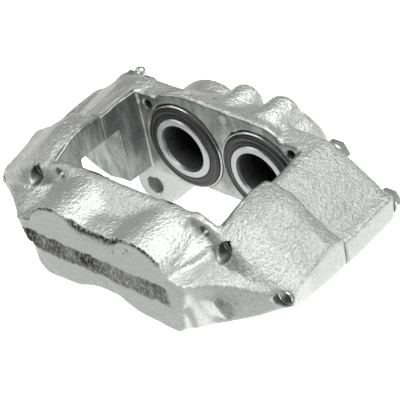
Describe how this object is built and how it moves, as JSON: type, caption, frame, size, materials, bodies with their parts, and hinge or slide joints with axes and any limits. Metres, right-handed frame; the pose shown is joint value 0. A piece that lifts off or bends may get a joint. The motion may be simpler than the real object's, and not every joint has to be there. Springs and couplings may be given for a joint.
{
  "type": "brake caliper",
  "caption": "Fixed opposed-piston brake caliper with two bolted cast halves, open pad window, cup pistons with dust boots, and lugs that bolt to a steering knuckle.",
  "frame": {"origin": "on the disc's middle plane, midway between the piston centres of each half", "axes": "X along the disc's rim, Y along the wheel axis towards the vehicle, Z away from the wheel axis"},
  "size_m": [0.2364, 0.151, 0.099],
  "materials": {
    "plated_casting": "zinc plated, as cast",
    "plated_steel": "zinc plated",
    "piston_steel": "ground",
    "ring_steel": "bright spring steel",
    "boot_rubber": "satin",
    "seal_rubber": "matte"
  },
  "bodies": {
    "caliper": {"inboard_housing": "plated_casting", "outboard_housing": "plated_casting", "inner_bridge_bolts": "plated_steel", "outer_bridge_bolts": "plated_steel", "piston_seal_inboard_left": "seal_rubber", "piston_seal_inboard_right": "seal_rubber", "piston_seal_outboard_left": "seal_rubber", "piston_seal_outboard_right": "seal_rubber", "dust_boot_inboard_left": "boot_rubber", "dust_boot_inboard_right": "boot_rubber", "dust_boot_outboard_left": "boot_rubber", "dust_boot_outboard_right": "boot_rubber", "boot_ring_inboard_left": "ring_steel", "boot_ring_inboard_right": "ring_steel", "boot_ring_outboard_left": "ring_steel", "boot_ring_outboard_right": "ring_steel", "crossover_seal": "seal_rubber"},
    "piston_inboard_left_body": {"piston_inboard_left": "piston_steel"},
    "piston_inboard_right_body": {"piston_inboard_right": "piston_steel"},
    "piston_outboard_left_body": {"piston_outboard_left": "piston_steel"},
    "piston_outboard_right_body": {"piston_outboard_right": "piston_steel"},
    "bleed_screw_body": {"bleed_screw": "plated_steel"}
  },
  "joints": [
    {"name": "piston_inboard_left_slide", "type": "slide", "parent": "caliper", "child": "piston_inboard_left_body", "axis": [0, -1, 0], "range_m": [0, 0.012]},
    {"name": "piston_inboard_right_slide", "type": "slide", "parent": "caliper", "child": "piston_inboard_right_body", "axis": [0, -1, 0], "range_m": [0, 0.012]},
    {"name": "piston_outboard_left_slide", "type": "slide", "parent": "caliper", "child": "piston_outboard_left_body", "axis": [0, 1, 0], "range_m": [0, 0.012]},
    {"name": "piston_outboard_right_slide", "type": "slide", "parent": "caliper", "child": "piston_outboard_right_body", "axis": [0, 1, 0], "range_m": [0, 0.012]},
    {"name": "bleed_screw_turn", "type": "hinge", "parent": "caliper", "child": "bleed_screw_body", "pos_m": [-0.0895, 0.0555, 0.0205], "axis": [0, 1, 0], "range_deg": [0, 180]}
  ]
}
